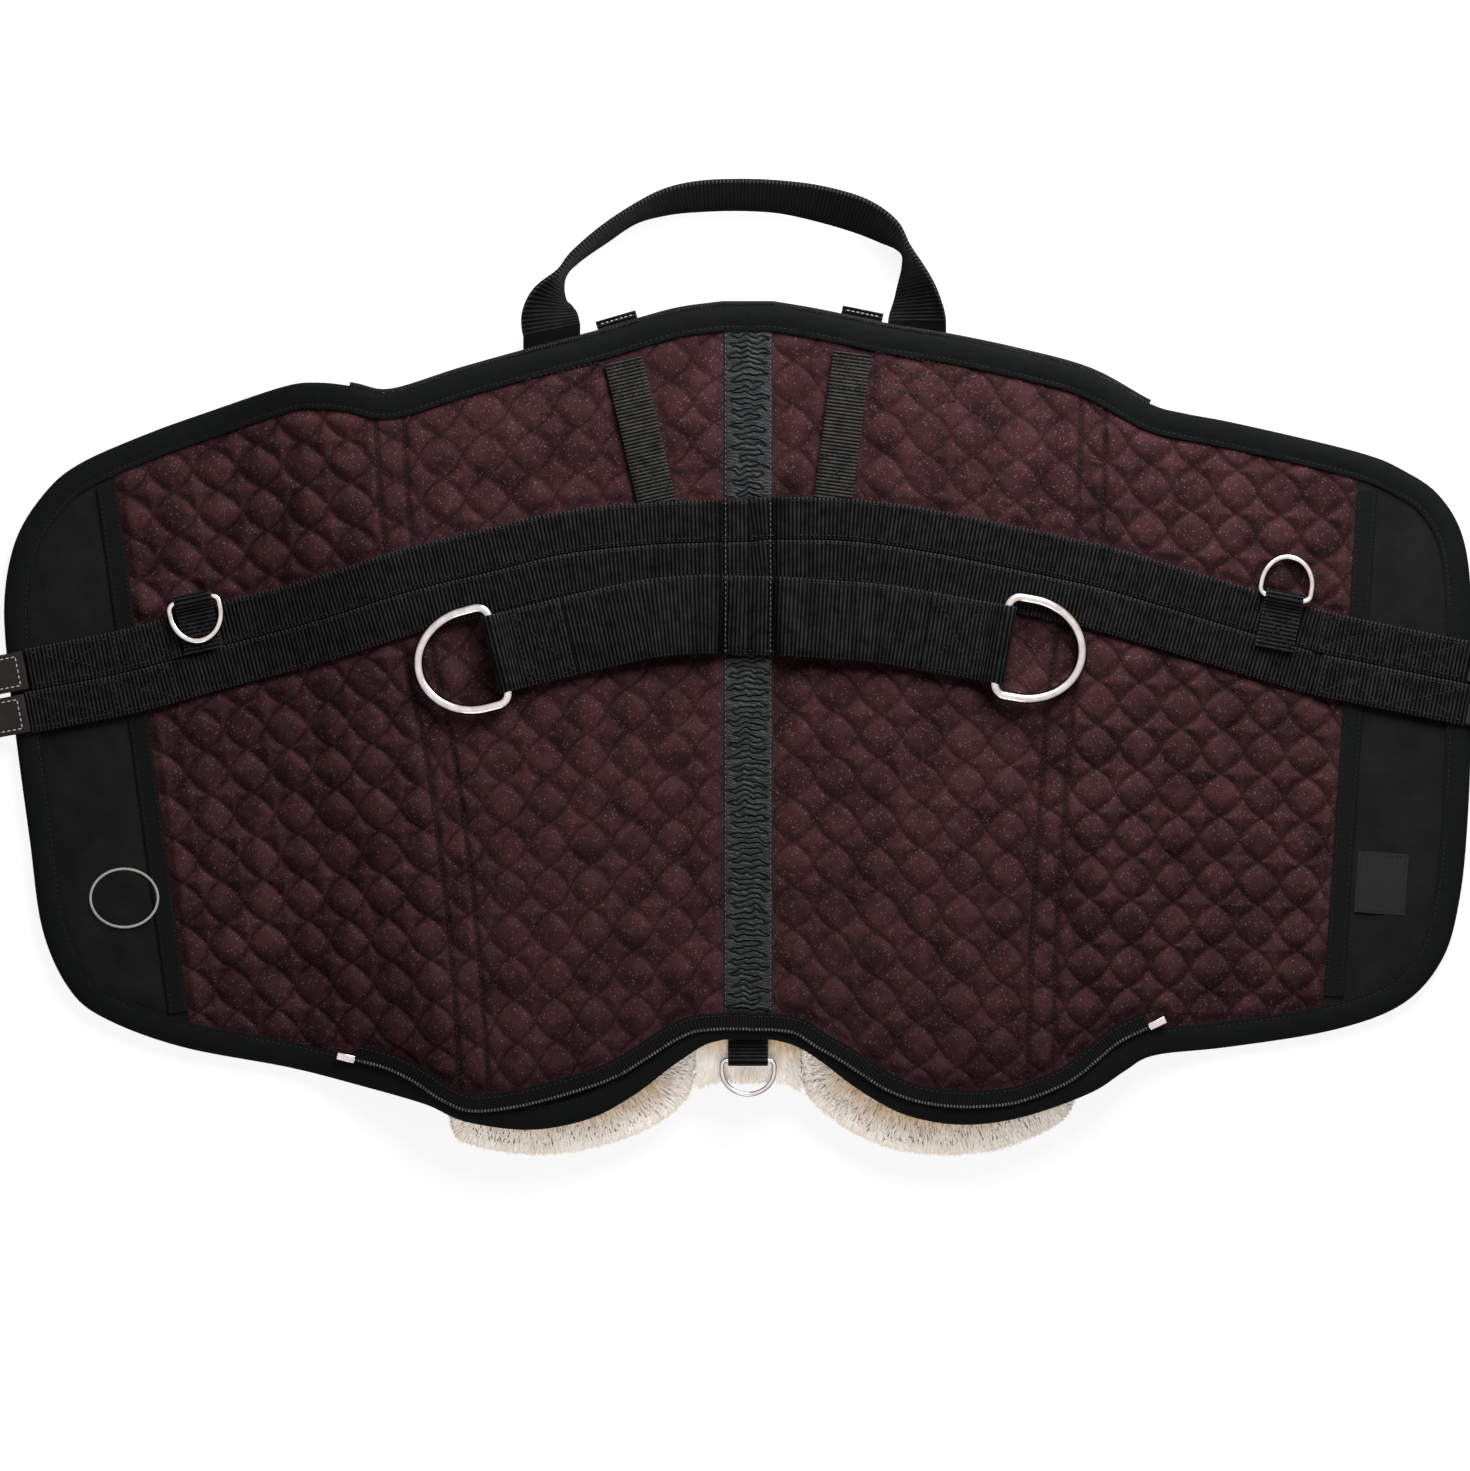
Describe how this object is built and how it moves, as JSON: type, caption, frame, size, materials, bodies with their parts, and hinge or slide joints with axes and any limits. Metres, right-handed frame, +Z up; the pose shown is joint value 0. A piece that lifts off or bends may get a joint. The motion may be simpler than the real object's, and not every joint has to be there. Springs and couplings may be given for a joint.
{
  "type": "bareback riding pad",
  "caption": "Quilted bareback riding pad with lambskin underside, crossing webbing, grab handle, D-rings and leather girth billets, folding in two at the spine.",
  "frame": {"origin": "on the table under the middle of the whole pad, which lies open with its quilted side up", "axes": "+X to the pad's right flap, +Y along the spine to the front edge with the grab handle, +Z up out of the quilted side"},
  "size_m": [1.4056, 0.6359, 0.0542],
  "materials": {
    "quilt": "burgundy quilted outer cloth with a fine glitter thread, stuffed",
    "black_cloth": "smooth black polyester cloth and binding tape",
    "webbing": "ribbed black polypropylene webbing",
    "lambskin": "natural cream lambskin, tan at the roots",
    "foam": "light closed-cell foam pad",
    "steel": "nickel-plated steel, polished",
    "leather": "black leather, pale stitching",
    "zip": "black nylon coil zip on its tape",
    "label": "black woven satin, bare"
  },
  "bodies": {
    "spine": {"front_binding_middle": "black_cloth", "front_girth_web_middle": "webbing", "front_zip_middle": "zip", "grab_handle": "webbing", "rear_binding_middle": "black_cloth", "rear_girth_web_middle": "webbing", "rear_ring_loop": "webbing", "rear_zip_middle": "zip", "spine_band": "black_cloth", "spine_lining": "lambskin", "stirrup_web_middle": "webbing"},
    "rear_ring": {"rear_ring": "steel"},
    "left_half": {"left_edge_binding": "black_cloth", "left_end_panel": "black_cloth", "left_foam_insert": "foam", "left_front_billet_anchor": "webbing", "left_front_girth_web": "webbing", "left_front_strap": "webbing", "left_front_tab": "webbing", "left_front_zip": "zip", "left_lambskin": "lambskin", "left_quilt_panel": "quilt", "left_rear_billet_anchor": "webbing", "left_rear_girth_web": "webbing", "left_rear_zip": "zip", "left_seam_tape": "black_cloth", "left_small_ring_tab": "webbing", "left_stirrup_loop": "webbing", "left_stirrup_web": "webbing", "left_zip_stop": "steel"},
    "right_half": {"right_edge_binding": "black_cloth", "right_end_panel": "black_cloth", "right_foam_insert": "foam", "right_front_billet_anchor": "webbing", "right_front_girth_web": "webbing", "right_front_strap": "webbing", "right_front_tab": "webbing", "right_front_zip": "zip", "right_lambskin": "lambskin", "right_quilt_panel": "quilt", "right_rear_billet_anchor": "webbing", "right_rear_girth_web": "webbing", "right_rear_zip": "zip", "right_seam_tape": "black_cloth", "right_small_ring_tab": "webbing", "right_stirrup_loop": "webbing", "right_stirrup_web": "webbing", "right_zip_stop": "steel", "woven_label": "label"},
    "left_front_billet": {"left_front_billet": "leather"},
    "left_rear_billet": {"left_rear_billet": "leather"},
    "left_small_ring": {"left_small_ring": "steel"},
    "left_stirrup_ring": {"left_stirrup_ring": "steel"},
    "right_front_billet": {"right_front_billet": "leather"},
    "right_rear_billet": {"right_rear_billet": "leather"},
    "right_small_ring": {"right_small_ring": "steel"},
    "right_stirrup_ring": {"right_stirrup_ring": "steel"}
  },
  "joints": [
    {"name": "left_fold", "type": "hinge", "parent": "spine", "child": "left_half", "pos_m": [-0.016, 0, 0.0361], "axis": [0, 1, 0], "range_deg": [-45, 50], "deforming": ["grab_handle"]},
    {"name": "right_fold", "type": "hinge", "parent": "spine", "child": "right_half", "pos_m": [0.016, 0, 0.0361], "axis": [0, -1, 0], "range_deg": [-45, 50], "deforming": ["grab_handle"]},
    {"name": "left_stirrup_ring_swing", "type": "hinge", "parent": "left_half", "child": "left_stirrup_ring", "pos_m": [-0.16136, 0.01034, 0.04813], "axis": [-0.2475, 0.9689, 0], "range_deg": [0, 150]},
    {"name": "left_small_ring_swing", "type": "hinge", "parent": "left_half", "child": "left_small_ring", "pos_m": [-0.36124, 0.04569, 0.0143], "axis": [-0.9781, -0.2079, 0], "range_deg": [0, 165]},
    {"name": "left_front_billet_bend", "type": "hinge", "parent": "left_half", "child": "left_front_billet", "pos_m": [-0.47044, 0.00013, 0.0128], "axis": [-0.1848, 0.9828, 0], "range_deg": [0, 150]},
    {"name": "left_rear_billet_bend", "type": "hinge", "parent": "left_half", "child": "left_rear_billet", "pos_m": [-0.46935, -0.02775, 0.0128], "axis": [-0.1848, 0.9828, 0], "range_deg": [0, 150]},
    {"name": "right_stirrup_ring_swing", "type": "hinge", "parent": "right_half", "child": "right_stirrup_ring", "pos_m": [0.1638, 0.01635, 0.04794], "axis": [-0.1735, -0.9848, 0], "range_deg": [0, 150]},
    {"name": "right_small_ring_swing", "type": "hinge", "parent": "right_half", "child": "right_small_ring", "pos_m": [0.34905, 0.04714, 0.0143], "axis": [0.9816, -0.1908, 0], "range_deg": [0, 165]},
    {"name": "right_front_billet_bend", "type": "hinge", "parent": "right_half", "child": "right_front_billet", "pos_m": [0.47044, 0.005, 0.0128], "axis": [-0.1997, -0.9799, 0], "range_deg": [0, 150]},
    {"name": "right_rear_billet_bend", "type": "hinge", "parent": "right_half", "child": "right_rear_billet", "pos_m": [0.46914, -0.0229, 0.0128], "axis": [-0.1997, -0.9799, 0], "range_deg": [0, 150]},
    {"name": "rear_ring_swing", "type": "hinge", "parent": "spine", "child": "rear_ring", "pos_m": [0, -0.25308, 0.0339], "axis": [-1, 0, 0], "range_deg": [0, 110]}
  ]
}
